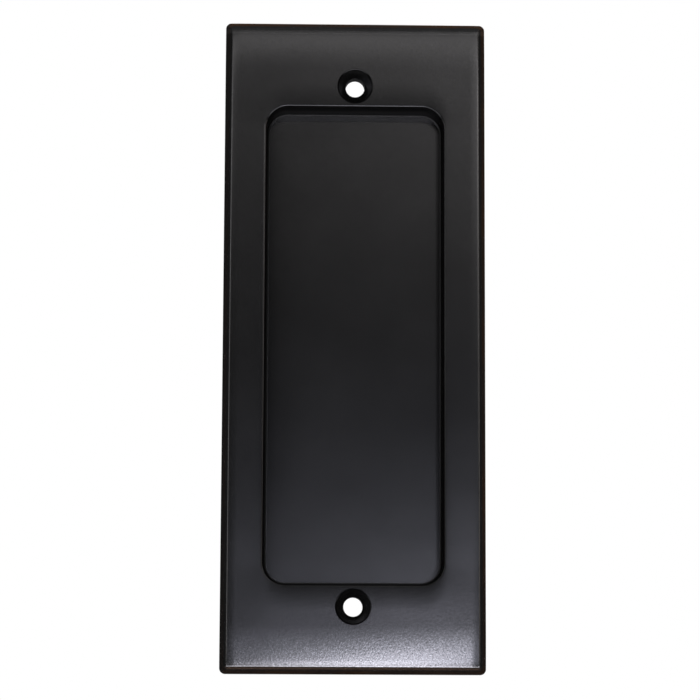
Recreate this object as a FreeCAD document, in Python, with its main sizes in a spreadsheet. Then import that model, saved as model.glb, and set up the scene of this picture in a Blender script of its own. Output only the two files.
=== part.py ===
import FreeCAD, Part
import math
import os

import Sketcher

# Pocket door pull: a rectangular flush pull, cast in one piece. A flat bevelled flange lies on
# the door, a finger cup behind it goes into a mortise, and two countersunk holes take wood screws.
# The origin is in the middle of the flange's back. +Z runs up the pull's length, the front faces
# -Y and the cup goes into the door along +Y.

doc = FreeCAD.newDocument("pocket_door_pull")

# Driving dimensions, in millimetres and degrees.
sizes = doc.addObject("Spreadsheet::Sheet", "sizes")
driving = [
    ("plate_width", 50.8),
    ("plate_height", 127.0),
    ("flange_thickness", 4.0),
    ("bevel", 1.35),
    ("face_corner_radius", 0.3),
    ("face_edge_round", 0.3),
    ("back_edge_round", 0.25),
    ("side_border", 8.05),
    ("end_border", 17.0),
    ("recess_depth", 6.0),
    ("recess_corner_radius", 4.3),
    ("draft_angle", 1.5),
    ("floor_fillet", 0.4),
    ("rim_round", 0.4),
    ("cup_wall", 1.5),
    ("floor_thickness", 1.5),
    ("cup_edge_round", 1.0),
    ("hole_diameter", 3.7),
    ("sink_diameter", 6.7),
    ("sink_angle", 82.0),
    ("sink_land", 0.85),
]
for row, (alias, value) in enumerate(driving, start=1):
    sizes.set(f"A{row}", alias)
    sizes.set(f"B{row}", str(value))
    sizes.setAlias(f"B{row}", alias)
doc.recompute()

# Sizes that follow from the driving ones. The recess keeps its borders to the plate's edges, and
# the cup is the recess as it stands at the flange's back, with the wall's thickness round it.
plate_corner = "sizes.face_corner_radius + sizes.bevel"
recess_width = "(sizes.plate_width - 2 * sizes.side_border)"
recess_height = "(sizes.plate_height - 2 * sizes.end_border)"
narrowing = "sizes.flange_thickness * tan(sizes.draft_angle * 1 deg)"
cup_growth = f"(sizes.cup_wall - {narrowing})"
cup_length = "sizes.recess_depth + sizes.floor_thickness - sizes.flange_thickness"
hole_height = f"{recess_height} / 2 + sizes.sink_land + sizes.sink_diameter / 2"

# Depths along Y of the front, the recess's floor and the cup's rear, for picking edges.
front_y = -sizes.flange_thickness
floor_y = front_y + sizes.recess_depth
rear_y = floor_y + sizes.floor_thickness

body = doc.addObject("PartDesign::Body", "flush_pull")
body.Label = "flush_pull"
door_plane = next(item for item in body.Origin.OriginFeatures if item.Role == "XZ_Plane")


def sketch_at(name, distance):
    """An empty sketch that looks out of the front, at a distance in front of the door's face."""
    sketch = body.newObject("Sketcher::SketchObject", name)
    sketch.AttachmentSupport = [(door_plane, "")]
    sketch.MapMode = "FlatFace"
    sketch.setExpression("AttachmentOffset.Base.z", distance)
    return sketch


def bind(sketch, constraint, name, expression):
    """Add a dimension to a sketch and tie it to the sheet."""
    sketch.renameConstraint(sketch.addConstraint(constraint), name)
    sketch.setExpression(f"Constraints.{name}", expression)


def outline(name, distance, width, height, radius):
    """A sketch of a rectangle with rounded corners, centred on the origin."""
    sketch = sketch_at(name, distance)
    # Drawn at a rough size, which the dimensions then set.
    side, end, corner = 20.0, 40.0, 2.0
    inner_side = side - corner
    inner_end = end - corner
    lines = [
        ((-inner_side, -end), (inner_side, -end)),
        ((side, -inner_end), (side, inner_end)),
        ((inner_side, end), (-inner_side, end)),
        ((-side, inner_end), (-side, -inner_end)),
    ]
    for start, stop in lines:
        sketch.addGeometry(Part.LineSegment(FreeCAD.Vector(*start), FreeCAD.Vector(*stop)))
    centres = [
        (inner_side, -inner_end),
        (inner_side, inner_end),
        (-inner_side, inner_end),
        (-inner_side, -inner_end),
    ]
    for quarter, centre in enumerate(centres):
        circle = Part.Circle(FreeCAD.Vector(*centre), FreeCAD.Vector(0, 0, 1), corner)
        start_angle = (quarter - 1) * math.pi / 2
        sketch.addGeometry(Part.ArcOfCircle(circle, start_angle, start_angle + math.pi / 2))
    # Lines are 0 to 3 and arcs 4 to 7. Each runs smoothly into the next, round the outline.
    chain = [0, 4, 1, 5, 2, 6, 3, 7]
    for this, following in zip(chain, chain[1:] + chain[:1]):
        sketch.addConstraint(Sketcher.Constraint("Tangent", this, 2, following, 1))
    for line in (0, 2):
        sketch.addConstraint(Sketcher.Constraint("Horizontal", line))
    for line in (1, 3):
        sketch.addConstraint(Sketcher.Constraint("Vertical", line))
    for arc in (4, 5, 6):
        sketch.addConstraint(Sketcher.Constraint("Equal", arc, arc + 1))
    sketch.addConstraint(Sketcher.Constraint("Symmetric", 4, 3, 6, 3, -1, 1))
    bind(sketch, Sketcher.Constraint("DistanceX", 3, 1, 1, 1, 2 * side), "width", width)
    bind(sketch, Sketcher.Constraint("DistanceY", 0, 1, 2, 1, 2 * end), "height", height)
    bind(sketch, Sketcher.Constraint("Radius", 4, corner), "radius", radius)
    return sketch


def is_outer(edge):
    """Whether an edge reaches the outer half of the border between the recess and the plate's edge."""
    box = edge.BoundBox
    reach_x = max(abs(box.XMin), abs(box.XMax))
    reach_z = max(abs(box.ZMin), abs(box.ZMax))
    wide = reach_x > (sizes.plate_width - sizes.side_border) / 2
    high = reach_z > (sizes.plate_height - sizes.end_border) / 2
    return wide or high


def flat_edges(feature, depth, outer):
    """Names of a feature's edges that lie flat at a depth, round the plate's outside or within it."""
    names = []
    for number, edge in enumerate(feature.Shape.Edges, start=1):
        box = edge.BoundBox
        flat = abs(box.YMin - depth) < 1e-4 and abs(box.YMax - depth) < 1e-4
        if flat and is_outer(edge) == outer:
            names.append(f"Edge{number}")
    return names


def eased(kind, name, base, edges, measure, alias):
    """A fillet or chamfer on edges of the feature before it."""
    feature = body.newObject(kind, name)
    feature.Base = (base, edges)
    feature.setExpression(measure, f"sizes.{alias}")
    doc.recompute()
    return feature


# The flange grows from the door's face to the front.
flange = body.newObject("PartDesign::Pad", "flange")
flange.Profile = outline(
    "flange_outline", "0", "sizes.plate_width", "sizes.plate_height", plate_corner
)
flange.setExpression("Length", "sizes.flange_thickness")
doc.recompute()

# The cup stands behind the flange and narrows towards its rear by the draft.
cup = body.newObject("PartDesign::Pad", "cup")
cup.Profile = outline(
    "cup_outline",
    "0",
    f"{recess_width} + 2 * {cup_growth}",
    f"{recess_height} + 2 * {cup_growth}",
    f"sizes.recess_corner_radius + {cup_growth}",
)
cup.Reversed = True
cup.setExpression("Length", cup_length)
cup.setExpression("TaperAngle", "-sizes.draft_angle")
doc.recompute()

# The finger recess is cut from the front into the cup, with the same draft.
recess = body.newObject("PartDesign::Pocket", "recess")
recess.Profile = outline(
    "recess_outline",
    "sizes.flange_thickness",
    recess_width,
    recess_height,
    "sizes.recess_corner_radius",
)
recess.setExpression("Length", "sizes.recess_depth")
recess.setExpression("TaperAngle", "-sizes.draft_angle")
doc.recompute()

# A bevel runs round the front of the flange. Its arris with the face and the flange's rear edge
# are eased, and so are the recess's rim, its floor and the cup's rear edge.
fillet = "PartDesign::Fillet"
edges = flat_edges(recess, front_y, outer=True)
bevel = eased("PartDesign::Chamfer", "bevel", recess, edges, "Size", "bevel")
edges = flat_edges(bevel, front_y, outer=True)
face_edge = eased(fillet, "face_edge", bevel, edges, "Radius", "face_edge_round")
edges = flat_edges(face_edge, 0.0, outer=True)
back_edge = eased(fillet, "back_edge", face_edge, edges, "Radius", "back_edge_round")
edges = flat_edges(back_edge, floor_y, outer=False)
floor_edge = eased(fillet, "floor_edge", back_edge, edges, "Radius", "floor_fillet")
edges = flat_edges(floor_edge, front_y, outer=False)
rim = eased(fillet, "rim", floor_edge, edges, "Radius", "rim_round")
edges = flat_edges(rim, rear_y, outer=False)
cup_edge = eased(fillet, "cup_edge", rim, edges, "Radius", "cup_edge_round")

# Two countersunk screw holes stand on the centre line, a narrow land away from the recess.
hole_places = sketch_at("hole_places", "sizes.flange_thickness")
for height in (50.0, -50.0):
    place = FreeCAD.Vector(0, height)
    hole_places.addGeometry(Part.Circle(place, FreeCAD.Vector(0, 0, 1), 2.0))
hole_places.addConstraint(Sketcher.Constraint("PointOnObject", 0, 3, -2))
hole_places.addConstraint(Sketcher.Constraint("Symmetric", 0, 3, 1, 3, -1, 1))
hole_places.addConstraint(Sketcher.Constraint("Equal", 0, 1))
bind(hole_places, Sketcher.Constraint("DistanceY", -1, 1, 0, 3, 50.0), "place", hole_height)
bind(hole_places, Sketcher.Constraint("Diameter", 0, 4.0), "bore", "sizes.hole_diameter")
doc.recompute()
screw_holes = body.newObject("PartDesign::Hole", "screw_holes")
screw_holes.Profile = hole_places
screw_holes.ThreadType = "None"
screw_holes.DepthType = "ThroughAll"
screw_holes.HoleCutType = "Countersink"
screw_holes.setExpression("Diameter", "sizes.hole_diameter")
screw_holes.setExpression("HoleCutDiameter", "sizes.sink_diameter")
screw_holes.setExpression("HoleCutCountersinkAngle", "sizes.sink_angle")
body.Tip = screw_holes
doc.recompute()

# Every feature has to be sound, and to add or take away material as it is meant to.
for item in doc.Objects:
    if {"Invalid", "Error"} & set(item.State):
        raise RuntimeError(f"{item.Label} failed: {item.State}")
features = [
    flange, cup, recess, bevel, face_edge, back_edge, floor_edge, rim, cup_edge, screw_holes
]
for before, after in zip(features, features[1:]):
    grown = after.Shape.Volume > before.Shape.Volume
    if grown != (after in (cup, floor_edge)):
        raise RuntimeError(f"{after.Label} changes the volume the wrong way")
solid = body.Shape
if solid.isNull() or not solid.isValid() or len(solid.Solids) != 1:
    raise RuntimeError("the pull is not one sound solid")

os.makedirs("parts", exist_ok=True)
solid.exportStep(f"parts/{body.Label}.step")
print(f"{body.Label}: {solid.Volume / 1000:.2f} cm3, box {solid.BoundBox}")
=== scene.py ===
import math

import bmesh
import bpy
from mathutils import Matrix, Vector


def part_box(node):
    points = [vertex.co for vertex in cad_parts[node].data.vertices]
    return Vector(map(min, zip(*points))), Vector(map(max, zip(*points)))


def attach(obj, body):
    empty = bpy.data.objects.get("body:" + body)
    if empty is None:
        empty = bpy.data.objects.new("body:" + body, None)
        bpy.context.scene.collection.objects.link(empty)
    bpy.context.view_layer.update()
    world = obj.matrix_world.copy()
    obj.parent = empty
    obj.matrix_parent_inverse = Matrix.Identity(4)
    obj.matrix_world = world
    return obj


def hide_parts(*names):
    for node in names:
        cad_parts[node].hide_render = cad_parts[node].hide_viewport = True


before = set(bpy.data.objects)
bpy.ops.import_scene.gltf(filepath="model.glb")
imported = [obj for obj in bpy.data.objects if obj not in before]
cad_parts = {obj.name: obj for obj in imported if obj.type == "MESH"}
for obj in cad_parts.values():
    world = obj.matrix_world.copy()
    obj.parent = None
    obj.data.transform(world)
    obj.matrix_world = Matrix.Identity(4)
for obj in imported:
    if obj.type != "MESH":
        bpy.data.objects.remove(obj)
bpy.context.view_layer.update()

# The pull is one brass casting: a flat bevelled flange round a finger recess, with the recess's
# cup behind it. Its front is buffed and finished in dark bronze, and its back is left as cast.
mm = 0.001
low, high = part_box("flush_pull")
front = low.y
rear = high.y
plate = (high.x, high.z, 1.1 * mm)
recess = (high.x - 8.05 * mm, high.z - 17.0 * mm, 4.3 * mm)
recess_depth = 6.0 * mm
draft = math.radians(1.5)
bevel = 1.35 * mm
arris_round = 0.3 * mm
outer_round = 0.15 * mm
back_round = 0.25 * mm
floor_fillet = 0.4 * mm
rim_round = 0.4 * mm
root_fillet = 0.3 * mm
cup_round = 1.0 * mm
cup_wall = 1.5 * mm
least_corner = 0.15 * mm
support_gap = 0.12 * mm
corner_steps = 16
face_steps = 48
fine_facets = 8
edge_facets = 5
outer_facets = 4
cap_margin = 3.0 * mm


def ring(outline, inset, depth):
    """An outline drawn in by a distance: half its width and height, its corner and its depth."""
    side, end, corner = outline
    return Vector((side - inset, end - inset, max(corner - inset, least_corner), depth))


def turns(first, last, count):
    """Angles of a fillet's facets."""
    return [first + (last - first) * step / count for step in range(count + 1)]


def supported(rings, gap):
    """The section with a ring close to both ends of each flat stretch, so that it shades flat."""
    full = [rings[0]]
    for before, after in zip(rings, rings[1:]):
        span = (after - before).length
        if span > 4 * gap:
            full.append(before.lerp(after, gap / span))
            full.append(after.lerp(before, gap / span))
        full.append(after)
    return full


# The section runs from the middle of the recess's floor, up its wall and over the rim, across the
# face, down the bevel and the side, and over the back to the cup's rear.
turn = math.pi / 2 - draft
reach = math.tan(turn / 2)
floor = front + recess_depth
floor_inset = recess_depth * math.tan(draft) + floor_fillet * reach
section = [ring(recess, floor_inset + cap_margin, floor)]
for angle in turns(0, turn, fine_facets):
    rise = floor_fillet * (1 - math.cos(angle))
    section.append(ring(recess, floor_inset - floor_fillet * math.sin(angle), floor - rise))
for angle in turns(turn, 0, fine_facets):
    inset = rim_round * (math.sin(angle) - reach)
    section.append(ring(recess, inset, front + rim_round * (1 - math.cos(angle))))
arris_inset = bevel + arris_round * math.tan(math.pi / 8)
rim_edge, arris_edge = section[-1], ring(plate, arris_inset, front)
edge_share = support_gap / (arris_edge - rim_edge).length
shares = [edge_share, *turns(0, 1, face_steps)[1:-1], 1 - edge_share]
section.extend(rim_edge.lerp(arris_edge, share) for share in shares)
for angle in turns(0, math.pi / 4, edge_facets):
    inset = arris_inset - arris_round * math.sin(angle)
    section.append(ring(plate, inset, front + arris_round * (1 - math.cos(angle))))
side_start = front + bevel + outer_round * math.tan(math.pi / 8)
for angle in turns(math.pi / 4, math.pi / 2, outer_facets):
    inset = outer_round * (1 - math.sin(angle))
    section.append(ring(plate, inset, side_start - outer_round * math.cos(angle)))
for angle in turns(0, math.pi / 2, edge_facets):
    inset = back_round * (1 - math.cos(angle))
    section.append(ring(plate, inset, back_round * (math.sin(angle) - 1)))
cup_growth = cup_wall + front * math.tan(draft)
cup = tuple(size + cup_growth for size in recess)
for angle in turns(0, turn, edge_facets):
    inset = root_fillet * (math.sin(angle) - reach)
    section.append(ring(cup, inset, root_fillet * (1 - math.cos(angle))))
cup_inset = rear * math.tan(draft) + cup_round * reach
for angle in turns(turn, 0, fine_facets):
    inset = cup_inset - cup_round * math.sin(angle)
    section.append(ring(cup, inset, rear - cup_round * (1 - math.cos(angle))))
section.append(ring(cup, cup_inset + cap_margin, rear))
section = supported(section, support_gap)

# The first ring is a rectangle with its corners rounded, and each later one is drawn out of the
# ring before it, corner by corner.
shell = bmesh.new()
side, end, corner, depth = section[0]
upright = Matrix.Translation((0, depth, 0)) @ Matrix.Rotation(math.pi / 2, 4, "X")
bmesh.ops.create_grid(
    shell,
    x_segments=1,
    y_segments=1,
    size=1.0,
    matrix=upright @ Matrix.Diagonal((side, end, 1, 1)),
)
bmesh.ops.bevel(
    shell,
    geom=shell.verts[:],
    offset=corner,
    affect="VERTICES",
    segments=corner_steps,
    profile=0.5,
    material=-1,
)
open_edges = shell.edges[:]
for before, after in zip(section, section[1:]):
    drawn = bmesh.ops.extrude_edge_only(shell, edges=open_edges)["geom"]
    points = [item for item in drawn if isinstance(item, bmesh.types.BMVert)]
    for right, up in ((1, 1), (-1, 1), (-1, -1), (1, -1)):
        group = [point for point in points if point.co.x * right > 0 and point.co.z * up > 0]
        was = Vector((right * (before[0] - before[2]), before[3], up * (before[1] - before[2])))
        now = Vector((right * (after[0] - after[2]), after[3], up * (after[1] - after[2])))
        growth = after[2] / before[2]
        bmesh.ops.scale(
            shell, vec=(growth, 1, growth), space=Matrix.Translation(-was), verts=group
        )
        bmesh.ops.translate(shell, vec=now - was, verts=group)
    drawn_edges = [item for item in drawn if isinstance(item, bmesh.types.BMEdge)]
    open_edges = [edge for edge in drawn_edges if edge.is_boundary]
bmesh.ops.contextual_create(shell, geom=open_edges)
bmesh.ops.recalc_face_normals(shell, faces=shell.faces[:])

# Buffing has rolled the face off towards the bevel and the rim. The front is cut across into
# narrow strips, and each point of it sinks by what has been buffed away there.
end_arris, side_arris = plate[1] - bevel, plate[0] - bevel
end_roll, end_slope = 7.9 * mm, 3.9
end_edge_roll, end_edge_slope = 1.2 * mm, 3.5
side_roll, side_slope = 1.7 * mm, 3.8
rim_side_roll, rim_end_roll, rim_slope = 0.5 * mm, 5.0 * mm, 2.7
behind_bevel = -1.5 * mm
border_strips, side_strips, end_strips = 8, 7, 25
cut_tolerance = 0.0001 * mm


def rolled(distance, width, slope):
    """The face's height at a distance from an edge that it is rolled off to."""
    near = min(max(1 - distance / width, 0), 1)
    return (1 - near**2) * width / 2 * math.tan(math.radians(slope))


def buffed_height(x, z):
    """The height of the face after buffing, over its lowest place."""
    to_end, to_side = end_arris - abs(z), side_arris - abs(x)
    out_x = max(abs(x) - recess[0] + recess[2], 0)
    out_z = max(abs(z) - recess[1] + recess[2], 0)
    out = math.hypot(out_x, out_z)
    endwise = (out_z / out) ** 2 if out else 0
    rim_roll = rim_side_roll + endwise * (rim_end_roll - rim_side_roll)
    return (
        rolled(to_end, end_roll, end_slope)
        + rolled(to_end, end_edge_roll, end_edge_slope)
        + rolled(to_side, side_roll, side_slope)
        + rolled(out - recess[2], rim_roll, rim_slope)
    )


across = turns(recess[0] - recess[2], side_arris - side_roll, border_strips)
across += turns(side_arris - side_roll, side_arris, side_strips)[1:]
along = turns(recess[1] - recess[2], end_arris, end_strips)
cuts = [(Vector((1, 0, 0)), far) for far in across]
cuts += [(Vector((0, 0, 1)), far) for far in along]
for direction, far in cuts:
    for sign in (1, -1):
        skin = [face for face in shell.faces if max(v.co.y for v in face.verts) < behind_bevel]
        parts = dict.fromkeys(part for face in skin for part in (*face.verts, *face.edges))
        bmesh.ops.bisect_plane(
            shell,
            geom=[*parts, *skin],
            dist=cut_tolerance,
            plane_co=direction * far * sign,
            plane_no=direction,
        )
full_height = max(
    buffed_height(0, end_arris - end_roll),
    buffed_height(side_arris - side_roll, 0),
)
for point in shell.verts:
    if point.co.y < behind_bevel:
        point.co.y += full_height - buffed_height(point.co.x, point.co.z)
shell_mesh = bpy.data.meshes.new("flush_pull_shell")
shell.to_mesh(shell_mesh)
shell.free()
pull = bpy.data.objects.new("flush_pull_casting", shell_mesh)
bpy.context.scene.collection.objects.link(pull)

# Two screw holes are drilled and countersunk for flat-head wood screws, with the mouth of each
# countersink just broken.
bore = 3.7 / 2 * mm
sink = 6.7 / 2 * mm
sink_half_angle = math.radians(41)
mouth_break = 0.08 * mm
mouth_half_angle = math.radians(66)
sink_land = 0.85 * mm
hole_height = recess[1] + sink_land + sink
overrun = 1.0 * mm
drill_steps = 64
merge_distance = 0.001 * mm
sharp_angle = math.radians(20)
drill = bmesh.new()
sink_depth = (sink - bore) / math.tan(sink_half_angle)
mouth_depth = mouth_break / (math.tan(mouth_half_angle) - math.tan(sink_half_angle))
profile = [
    (0.0, front - overrun),
    (sink + mouth_break + overrun * math.tan(mouth_half_angle), front - overrun),
    (sink - mouth_depth * math.tan(sink_half_angle), front + mouth_depth),
    (bore, front + sink_depth),
    (bore, overrun),
    (0.0, overrun),
]
for height in (hole_height, -hole_height):
    points = [drill.verts.new((radius, depth, height)) for radius, depth in profile]
    lines = [drill.edges.new(pair) for pair in zip(points, points[1:])]
    bmesh.ops.spin(
        drill,
        geom=points + lines,
        cent=(0, 0, height),
        axis=(0, 1, 0),
        angle=2 * math.pi,
        steps=drill_steps,
        use_merge=True,
    )
bmesh.ops.remove_doubles(drill, verts=drill.verts[:], dist=merge_distance)
bmesh.ops.recalc_face_normals(drill, faces=drill.faces[:])
drill_mesh = bpy.data.meshes.new("screw_drill")
drill.to_mesh(drill_mesh)
drill.free()
drill_piece = bpy.data.objects.new("screw_drill", drill_mesh)
bpy.context.scene.collection.objects.link(drill_piece)
cut = pull.modifiers.new("screw_holes", "BOOLEAN")
cut.object = drill_piece
cut.operation = "DIFFERENCE"
cut.solver = "EXACT"
bpy.context.view_layer.update()
evaluated = pull.evaluated_get(bpy.context.evaluated_depsgraph_get())
drilled = bpy.data.meshes.new_from_object(evaluated)
pull.modifiers.clear()
pull.data = drilled
drilled.name = "flush_pull_casting"
bpy.data.meshes.remove(shell_mesh)
bpy.data.objects.remove(drill_piece)
bpy.data.meshes.remove(drill_mesh)
drilled.shade_smooth()
drilled.set_sharp_from_angle(angle=sharp_angle)


def place(tree, kind, inputs=None, **settings):
    """Add a shader node, with its settings and with values or links on its inputs."""
    node = tree.nodes.new(kind)
    for name, value in settings.items():
        setattr(node, name, value)
    for socket, value in (inputs or {}).items():
        if isinstance(value, bpy.types.NodeSocket):
            tree.links.new(value, node.inputs[socket])
        else:
            node.inputs[socket].default_value = value
    return node


def reckon(tree, operation, *terms, clamp=False):
    """The result of a sum on values or other nodes' results."""
    inputs = dict(enumerate(terms))
    return place(tree, "ShaderNodeMath", inputs, operation=operation, use_clamp=clamp).outputs[0]


def shader_group(name, inputs, outputs):
    """An empty node group with named sockets, and the ends that its nodes are linked to."""
    group = bpy.data.node_groups.new(name, "ShaderNodeTree")
    for label in inputs:
        group.interface.new_socket(label, in_out="INPUT", socket_type="NodeSocketFloat")
    for label in outputs:
        group.interface.new_socket(label, in_out="OUTPUT", socket_type="NodeSocketFloat")
    given = group.nodes.new("NodeGroupInput").outputs
    found = group.nodes.new("NodeGroupOutput").inputs
    return group, given, found


# How far a point stands outside an outline with rounded corners, seen from the front, and how
# much its way out runs along the pull's length.
outline_group, given, found = shader_group(
    "outline_distance", ["Half Width", "Half Height", "Corner"], ["Distance", "Endwise"]
)
spot = place(outline_group, "ShaderNodeTexCoord").outputs["Object"]
split = place(outline_group, "ShaderNodeSeparateXYZ", {"Vector": spot}).outputs
beyond = []
for axis, half in (("X", "Half Width"), ("Z", "Half Height")):
    away = reckon(outline_group, "ABSOLUTE", split[axis])
    straight = reckon(outline_group, "SUBTRACT", given[half], given["Corner"])
    beyond.append(reckon(outline_group, "SUBTRACT", away, straight))
squares = [
    reckon(outline_group, "POWER", reckon(outline_group, "MAXIMUM", part, 0.0), 2.0)
    for part in beyond
]
both = reckon(outline_group, "ADD", *squares)
inside = reckon(outline_group, "MINIMUM", reckon(outline_group, "MAXIMUM", *beyond), 0.0)
whole = reckon(outline_group, "ADD", reckon(outline_group, "SQRT", both), inside)
distance = reckon(outline_group, "SUBTRACT", whole, given["Corner"])
outline_group.links.new(distance, found["Distance"])
outline_group.links.new(reckon(outline_group, "DIVIDE", squares[1], both), found["Endwise"])

finish = bpy.data.materials.new("dark_bronze")
finish.use_nodes = True
tree = finish.node_tree
tree.nodes.clear()
spot = place(tree, "ShaderNodeTexCoord").outputs["Object"]
split = place(tree, "ShaderNodeSeparateXYZ", {"Vector": spot}).outputs


def outlined(outline):
    """The distance to an outline and how much it runs along the pull's length."""
    inputs = dict(zip(("Half Width", "Half Height", "Corner"), outline))
    return place(tree, "ShaderNodeGroup", inputs, node_tree=outline_group).outputs


def ramp(value, start, stop, first=0.0, last=1.0):
    """A smooth step between two values."""
    inputs = {"Value": value, "From Min": start, "From Max": stop, "To Min": first, "To Max": last}
    step = place(tree, "ShaderNodeMapRange", inputs, interpolation_type="SMOOTHSTEP")
    return step.outputs["Result"]


def noise(scale, detail=2.0):
    """Cloudy noise in the metal, about 0.5 on average."""
    inputs = {"Vector": spot, "Scale": scale, "Detail": detail, "Roughness": 0.6}
    return place(tree, "ShaderNodeTexNoise", inputs).outputs["Fac"]


rim = outlined(recess)
arris_corner = 0.3 * mm
arris = outlined((side_arris, end_arris, arris_corner))

# The casting's grain shows through the polish, and the back is left as cast.
in_recess = reckon(
    tree,
    "MULTIPLY",
    reckon(tree, "LESS_THAN", rim["Distance"], 0.0),
    reckon(tree, "LESS_THAN", split["Y"], floor + 0.5 * mm),
)
at_back = reckon(
    tree,
    "MULTIPLY",
    reckon(tree, "GREATER_THAN", split["Y"], -0.05 * mm),
    reckon(tree, "SUBTRACT", 1.0, in_recess),
)
at_front = reckon(tree, "SUBTRACT", 1.0, at_back)
fine_grain, lower_grain, cast_grain = 0.004 * mm, 0.005 * mm, 0.012 * mm
grain_scale = 2600.0
lower_end = ramp(split["Z"], -recess[1], -plate[1] + 4.0 * mm)
grain_depth = reckon(tree, "MULTIPLY_ADD", lower_end, lower_grain, fine_grain)
grain_depth = reckon(tree, "MULTIPLY_ADD", at_back, cast_grain, grain_depth)
grain = reckon(tree, "MULTIPLY", noise(grain_scale), grain_depth)
relief = place(tree, "ShaderNodeBump", {"Height": grain, "Distance": 1.0, "Strength": 1.0})

# Dark patina is left in the recess, most of all at its walls, and painted shade is added to it
# there and on the face round the rim.
# The countersinks are darkened, most of all in a narrow ring at each mouth.
upper_half = reckon(tree, "GREATER_THAN", split["Z"], 0.0)
upper_rim = reckon(tree, "MULTIPLY", rim["Endwise"], upper_half)
# The floor is darkened beside the walls, partly patina and partly painted shade, reaching furthest
# out from the left wall.
to_right = ramp(split["X"], -5.0 * mm, 5.0 * mm)
reach_in = reckon(tree, "MULTIPLY_ADD", to_right, -1.3 * mm, 1.9 * mm)
inward = reckon(tree, "EXPONENT", reckon(tree, "DIVIDE", rim["Distance"], reach_in))
floor_share = reckon(tree, "MULTIPLY_ADD", rim["Endwise"], -0.45, 0.65)
floor_patina_and_shade = reckon(tree, "MULTIPLY", inward, floor_share)
# Painted shade darkens the floor along the foot of the right wall.
right_wall = reckon(tree, "MULTIPLY", to_right, reckon(tree, "SUBTRACT", 1.0, rim["Endwise"]))
right_foot_shade = ramp(rim["Distance"], -1.65 * mm, -0.65 * mm, 0.0, 0.7)
off_wall = ramp(rim["Distance"], -0.22 * mm, -0.14 * mm, 1.0, 0.0)
right_foot_shade = reckon(tree, "MULTIPLY", right_foot_shade, reckon(tree, "MULTIPLY", right_wall, off_wall))
floor_patina_and_shade = reckon(tree, "MAXIMUM", floor_patina_and_shade, right_foot_shade)
# The walls are darkened, partly patina and partly painted shade, most of all the upper and left
# ones.
wall_patina_and_shade = ramp(rim["Distance"], -0.8 * mm, -0.5 * mm, 0.0, 0.9)
lower_rim = reckon(tree, "SUBTRACT", rim["Endwise"], upper_rim)
wall_share = reckon(tree, "MULTIPLY_ADD", lower_rim, -0.5, 1.0)
wall_share = reckon(tree, "MULTIPLY_ADD", right_wall, -0.5, wall_share)
wall_patina_and_shade = reckon(tree, "MULTIPLY", wall_patina_and_shade, wall_share)
lower_root = reckon(tree, "MULTIPLY_ADD", upper_rim, -0.35, 1.0)
wall_end = reckon(
    tree,
    "MAXIMUM",
    ramp(split["Y"], front + 2.0 * mm, front + 4.5 * mm, 1.0, 0.35),
    reckon(tree, "MULTIPLY", ramp(split["Y"], floor - 0.6 * mm, floor - 0.3 * mm), lower_root),
)
wall_patina_and_shade = reckon(tree, "MULTIPLY", wall_patina_and_shade, wall_end)
depth_in = ramp(split["Y"], front + 0.2 * mm, front + 0.8 * mm)
depth_in = reckon(tree, "MULTIPLY", depth_in, in_recess)
wall_patina_and_shade = reckon(tree, "MULTIPLY", wall_patina_and_shade, depth_in)
patina_and_shade = reckon(tree, "MAXIMUM", reckon(tree, "MULTIPLY", floor_patina_and_shade, depth_in), wall_patina_and_shade)
# Painted shade darkens the rounding of the upper rim.
upper_rim_shade = ramp(rim["Distance"], 0.3 * mm, 0.45 * mm, 0.76, 0.0)
on_rim = reckon(tree, "SUBTRACT", reckon(tree, "SUBTRACT", upper_rim, in_recess), at_back)
upper_rim_shade = reckon(tree, "MULTIPLY", upper_rim_shade, on_rim)
patina_and_shade = reckon(tree, "MAXIMUM", patina_and_shade, upper_rim_shade)
# Painted shade darkens the face just beside the rim, stronger towards the bottom.
outward = reckon(tree, "MAXIMUM", rim["Distance"], 0.0)
outward = reckon(tree, "EXPONENT", reckon(tree, "DIVIDE", outward, -0.8 * mm))
on_face = reckon(tree, "SUBTRACT", at_front, in_recess)
beside_rim_shade = ramp(split["Z"], 25.0 * mm, -40.0 * mm, 0.08, 0.5)
beside_rim_shade = reckon(tree, "MULTIPLY", beside_rim_shade, reckon(tree, "MULTIPLY", outward, on_face))
patina_and_shade = reckon(tree, "MAXIMUM", patina_and_shade, beside_rim_shade)
off_hole = reckon(tree, "SUBTRACT", reckon(tree, "ABSOLUTE", split["Z"]), hole_height)
from_hole = reckon(
    tree,
    "SQRT",
    reckon(
        tree, "ADD", reckon(tree, "POWER", off_hole, 2.0), reckon(tree, "POWER", split["X"], 2.0)
    ),
)
at_mouth = reckon(tree, "ABSOLUTE", reckon(tree, "SUBTRACT", from_hole, sink))
in_sink = reckon(
    tree,
    "MAXIMUM",
    ramp(from_hole, sink, sink + 0.1 * mm, 0.25, 0.0),
    ramp(at_mouth, 0.1 * mm, 0.2 * mm, 0.85, 0.0),
)
patina_and_shade = reckon(tree, "MAXIMUM", patina_and_shade, reckon(tree, "MULTIPLY", in_sink, at_front))

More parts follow.
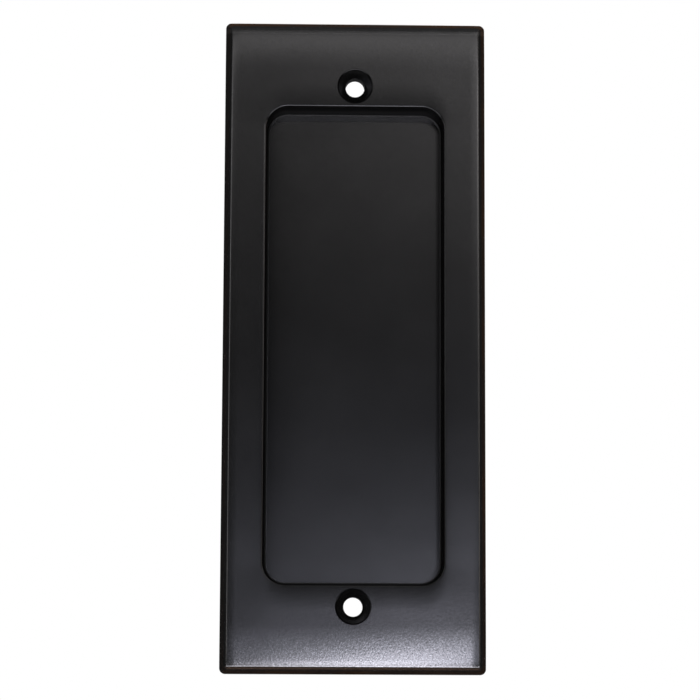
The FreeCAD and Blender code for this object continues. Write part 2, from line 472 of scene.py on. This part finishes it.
# The arris is lighter, partly rubbed and partly a painted highlight, with a painted highlight also
# at the top arris and on the lower bevel, and the outer edge is worn in patches to the warm metal.
dark_bronze = (0.045, 0.0445, 0.0452, 1)
warm_bronze = (0.1, 0.056, 0.035, 1)
cloud_scale, wear_scale, speckle_scale = 90.0, 110.0, 4200.0
off_arris = reckon(tree, "ABSOLUTE", arris["Distance"])
wear_and_highlight = ramp(off_arris, 0.08 * mm, 0.3 * mm, 0.8, 0.0)
below_top = ramp(split["Z"], plate[1] - 16.0 * mm, plate[1] - 4.0 * mm, 1.0, 0.0)
wear_and_highlight = reckon(tree, "MULTIPLY", wear_and_highlight, reckon(tree, "MULTIPLY", below_top, at_front))
lower_front = reckon(tree, "SUBTRACT", at_front, upper_half)
low_bevel = reckon(tree, "MULTIPLY", arris["Endwise"], lower_front)
low_bevel = reckon(tree, "MULTIPLY", low_bevel, ramp(arris["Distance"], 0.0, 0.2 * mm))
# Painted highlight, with wear to the warm metal: the lower bevel is lighter and warmer.
low_wear_and_highlight = ramp(arris["Distance"], 0.2 * mm, 0.7 * mm)
low_wear_and_highlight = reckon(tree, "MULTIPLY", low_bevel, reckon(tree, "SUBTRACT", 1.0, low_wear_and_highlight))
wear_and_highlight = reckon(tree, "MAXIMUM", wear_and_highlight, reckon(tree, "MULTIPLY", low_wear_and_highlight, 2.4))
# Painted highlight: a band just inside the top arris is lighter.
over_top = reckon(tree, "SUBTRACT", split["Z"], end_arris)
top_highlight = reckon(
    tree,
    "MINIMUM",
    ramp(over_top, -1.15 * mm, -0.55 * mm, 0.0, 1.15),
    ramp(over_top, -0.3 * mm, 0.2 * mm, 1.15, 0.3),
)
wear_and_highlight = reckon(tree, "MAXIMUM", wear_and_highlight, reckon(tree, "MULTIPLY", top_highlight, at_front))
clouds = noise(cloud_scale, 4.0)
tone = reckon(tree, "MULTIPLY_ADD", clouds, 0.24, 0.88)
tone = reckon(tree, "MULTIPLY", tone, reckon(tree, "SUBTRACT", 1.0, patina_and_shade))
tone = reckon(tree, "MULTIPLY", tone, reckon(tree, "ADD", wear_and_highlight, 1.0))
speckle = reckon(tree, "SUBTRACT", noise(speckle_scale, 1.0), 0.5)
contrast = reckon(tree, "MULTIPLY_ADD", lower_end, 1.0, 0.7)
speckle = reckon(tree, "MULTIPLY_ADD", speckle, contrast, 1.0)
tone = reckon(tree, "MULTIPLY", tone, speckle)
outermost = ramp(arris["Distance"], 0.35 * mm, 1.0 * mm)
outermost = reckon(tree, "MULTIPLY", outermost, ramp(split["X"], -plate[0], -plate[0] + bevel))
outermost = reckon(tree, "MULTIPLY", outermost, at_front)
patches = ramp(noise(wear_scale, 4.0), 0.35, 0.65, 0.4, 1.0)
warm = reckon(tree, "MULTIPLY", outermost, patches)
warm = reckon(tree, "MAXIMUM", warm, reckon(tree, "MULTIPLY", low_wear_and_highlight, 0.7))
hue = place(
    tree,
    "ShaderNodeMix",
    {0: warm, 6: dark_bronze, 7: warm_bronze},
    data_type="RGBA",
).outputs[2]
colour = place(tree, "ShaderNodeVectorMath", {0: hue, "Scale": tone}, operation="SCALE")
satin = reckon(tree, "MULTIPLY_ADD", clouds, 0.05, 0.105)
satin = reckon(tree, "MULTIPLY_ADD", at_back, 0.25, satin)
satin = reckon(tree, "MULTIPLY_ADD", wall_patina_and_shade, 0.35, satin)
upper_floor = ramp(rim["Distance"], -2.4 * mm, -0.9 * mm)
upper_floor = reckon(tree, "MULTIPLY", upper_floor, reckon(tree, "MULTIPLY", upper_rim, in_recess))
satin = reckon(tree, "MULTIPLY_ADD", upper_floor, 0.25, satin)
in_bore = ramp(from_hole, bore, bore + 0.1 * mm, 0.5, 0.0)
satin = reckon(tree, "ADD", satin, in_bore)
surface = place(
    tree,
    "ShaderNodeBsdfPrincipled",
    {
        "Base Color": colour.outputs["Vector"],
        "Metallic": 0.83,
        "Roughness": satin,
        "Specular Tint": (0.16, 0.16, 0.16, 1),
        "Normal": relief.outputs["Normal"],
    },
)
place(tree, "ShaderNodeOutputMaterial", {"Surface": surface.outputs["BSDF"]})
drilled.materials.clear()
drilled.materials.append(finish)
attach(pull, "root")
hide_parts("flush_pull")

# A plain pale floor of matt paper lies below the pull. It is near white to the eye and in
# reflections, and part of what the eye sees of it is lit, so that it keeps a shadow.
floor_level = -0.25
floor_reach = 4.0
floor_glow, floor_glow_share = 0.9, 0.7
sheet = bmesh.new()
bmesh.ops.create_grid(sheet, x_segments=1, y_segments=1, size=floor_reach)
bmesh.ops.translate(sheet, vec=(0, 0, floor_level), verts=sheet.verts[:])
ground_mesh = bpy.data.meshes.new("floor")
sheet.to_mesh(ground_mesh)
sheet.free()
ground = bpy.data.objects.new("floor", ground_mesh)
bpy.context.scene.collection.objects.link(ground)
paper = bpy.data.materials.new("pale_floor")
paper.use_nodes = True
sheet_tree = paper.node_tree
sheet_tree.nodes.clear()


def seen(tree):
    """Whether a ray comes from the eye, by way of a reflection or through glass."""
    path = place(tree, "ShaderNodeLightPath").outputs
    direct = reckon(tree, "MAXIMUM", path["Is Camera Ray"], path["Is Glossy Ray"])
    return reckon(tree, "MAXIMUM", direct, path["Is Transmission Ray"])


matt = place(
    sheet_tree,
    "ShaderNodeBsdfPrincipled",
    {"Base Color": (0.8, 0.8, 0.8, 1), "Roughness": 0.8},
)
pale = place(sheet_tree, "ShaderNodeEmission", {"Color": (1, 1, 1, 1), "Strength": floor_glow})
mixed = place(
    sheet_tree,
    "ShaderNodeMixShader",
    {
        0: reckon(sheet_tree, "MULTIPLY", seen(sheet_tree), floor_glow_share),
        1: matt.outputs["BSDF"],
        2: pale.outputs["Emission"],
    },
)
place(sheet_tree, "ShaderNodeOutputMaterial", {"Surface": mixed.outputs["Shader"]})
ground_mesh.materials.append(paper)

# The background is white, to the eye and in reflections, and lights the pull more weakly.
ambient = 0.3
world = bpy.data.worlds.new("studio")
bpy.context.scene.world = world
world.use_nodes = True
sky = world.node_tree
sky.nodes.clear()
level = place(sky, "ShaderNodeMapRange", {"Value": seen(sky), "To Min": ambient, "To Max": 1.0})
backdrop = place(sky, "ShaderNodeBackground", {"Strength": level.outputs["Result"]})
backdrop.inputs["Color"].default_value = (1, 1, 1, 1)
place(sky, "ShaderNodeOutputWorld", {"Surface": backdrop.outputs["Background"]})

# Dark cards stand round the pull, and only reflections see them. Soft lights glow on the front
# one and the low one.


def card(name, corners, level):
    """A card that only reflections see, and the nodes of its cloth."""
    board = bmesh.new()
    board.faces.new([board.verts.new(corner) for corner in corners])
    mesh = bpy.data.meshes.new(name)
    board.to_mesh(mesh)
    board.free()
    piece = bpy.data.objects.new(name, mesh)
    bpy.context.scene.collection.objects.link(piece)
    for ray in ("camera", "diffuse", "transmission", "volume_scatter", "shadow"):
        setattr(piece, f"visible_{ray}", False)
    cloth = bpy.data.materials.new(name)
    cloth.use_nodes = True
    cloth.node_tree.nodes.clear()
    light = place(cloth.node_tree, "ShaderNodeEmission", {"Strength": level})
    place(cloth.node_tree, "ShaderNodeOutputMaterial", {"Surface": light.outputs["Emission"]})
    mesh.materials.append(cloth)
    return cloth.node_tree, light


card_front, card_back, top_card_back = -1.0, 0.3, 0.5
card_side, card_top, card_low = 1.3, 1.3, floor_level + 0.01
dark, low_dark, top_level = 0.085, 0.08, 0.3
near_left, near_right = (-card_side, card_front), (card_side, card_front)
far_left, far_right = (-card_side, card_back), (card_side, card_back)


def upright_card(name, start, stop, level):
    """A card that stands between two places on the floor."""
    corners = [(*start, card_low), (*stop, card_low), (*stop, card_top), (*start, card_top)]
    return card(name, corners, level)


def lying_card(name, height, back, level):
    """A card that lies level over or under the pull."""
    corners = [near_left, near_right, (card_side, back), (-card_side, back)]
    return card(name, [(*corner, height) for corner in corners], level)


def glow(tree, brightness, centre, size, lean, level):
    """Add a soft round light to a card's brightness."""
    local = place(
        tree,
        "ShaderNodeMapping",
        {
            "Vector": place(tree, "ShaderNodeTexCoord").outputs["Object"],
            "Location": centre,
            "Rotation": (0, -math.radians(lean), 0),
            "Scale": size,
        },
        vector_type="TEXTURE",
    ).outputs["Vector"]
    square = place(tree, "ShaderNodeVectorMath", {0: local, 1: local}, operation="DOT_PRODUCT")
    fade = reckon(tree, "EXPONENT", reckon(tree, "MULTIPLY", square.outputs["Value"], -1.0))
    return place(
        tree, "ShaderNodeVectorMath", {0: fade, 1: level, 2: brightness}, operation="MULTIPLY_ADD"
    ).outputs["Vector"]


upright_card("left_card", near_left, far_left, dark)
upright_card("right_card", near_right, far_right, dark)
lying_card("top_card", card_top, top_card_back, top_level)
front_tree, front_light = upright_card("front_card", near_left, near_right, 1.0)
brightness = (dark, dark, dark)
for across, up, wide, tall, lean, level in (
    (0.022, -0.24, 0.127, 0.042, 63, (36.0, 36.0, 40.5)),
    (0.1, -0.115, 0.19, 0.12, 0, (3.05, 3.16, 3.75)),
    (0.0, 0.435, 0.16, 0.055, 0, (1.45, 1.42, 1.42)),
    (0.44, 0.36, 0.33, 0.145, 0, (3.7, 3.62, 3.62)),
    (-0.29, 0.37, 0.16, 0.1, 0, (2.6, 2.55, 2.55)),
):
    centre, size = (across, card_front, up), (wide, 1, tall)
    brightness = glow(front_tree, brightness, centre, size, lean, level)
front_tree.links.new(brightness, front_light.inputs["Color"])
low_tree, low_light = lying_card("low_card", card_low, card_back, 1.0)
brightness = (low_dark, low_dark, low_dark)
for across, along, wide, deep, level in (
    (0.05, -0.5, 0.6, 0.2, (9.5, 9.5, 10.0)),
    (0.04, -0.8, 0.055, 0.22, (19.0, 19.0, 21.0)),
):
    centre, size = (across, along, card_low), (wide, deep, 1)
    brightness = glow(low_tree, brightness, centre, size, 0, level)
low_tree.links.new(brightness, low_light.inputs["Color"])

# Three soft lamps light the pull from the left and right and the floor behind it.


def panel(name, centre, aim, width, height, radiance, colour):
    """A soft lamp that faces a point, as bright as a surface of the given radiance."""
    lamp = bpy.data.lights.new(name, "AREA")
    lamp.shape = "RECTANGLE"
    lamp.size = width
    lamp.size_y = height
    lamp.energy = radiance * math.pi * width * height
    lamp.color = colour
    piece = bpy.data.objects.new(name, lamp)
    facing = (Vector(aim) - Vector(centre)).to_track_quat("-Z", "Y")
    piece.matrix_world = Matrix.Translation(centre) @ facing.to_matrix().to_4x4()
    piece.visible_camera = False
    bpy.context.scene.collection.objects.link(piece)


panel("left_lamp", (-0.9, -0.75, 0.2), (0, 0, 0), 0.35, 0.7, 2.2, (1, 1, 1))
panel("right_lamp", (1.1, -0.3, 0.2), (0, 0, 0), 0.35, 0.7, 2.6, (1, 0.93, 0.86))
panel("back_lamp", (0, 1.0, 1.3), (0, 0, floor_level), 1.0, 1.0, 3.0, (1, 0.99, 0.98))

# The camera stands a little below the pull's middle and looks up at it.
picture = 700
focal = 2600
camera_distance = 0.5013
pitch = math.radians(7.9)
yaw = math.radians(1.22)
roll = math.radians(0.245)
target = Vector((-0.81 * mm, front, -1.42 * mm))
forward = Vector(
    (math.sin(yaw) * math.cos(pitch), math.cos(yaw) * math.cos(pitch), math.sin(pitch))
)
camera_data = bpy.data.cameras.new("camera")
camera_data.sensor_width = 36
camera_data.lens = focal / picture * camera_data.sensor_width
camera = bpy.data.objects.new("camera", camera_data)
bpy.context.scene.collection.objects.link(camera)
aimed = forward.to_track_quat("-Z", "Y").to_matrix().to_4x4()
camera.matrix_world = (
    Matrix.Translation(target - forward * camera_distance) @ aimed @ Matrix.Rotation(roll, 4, "Z")
)
camera_data.clip_start = 0.01
bpy.context.scene.camera = camera
bpy.context.scene.view_settings.view_transform = "Standard"
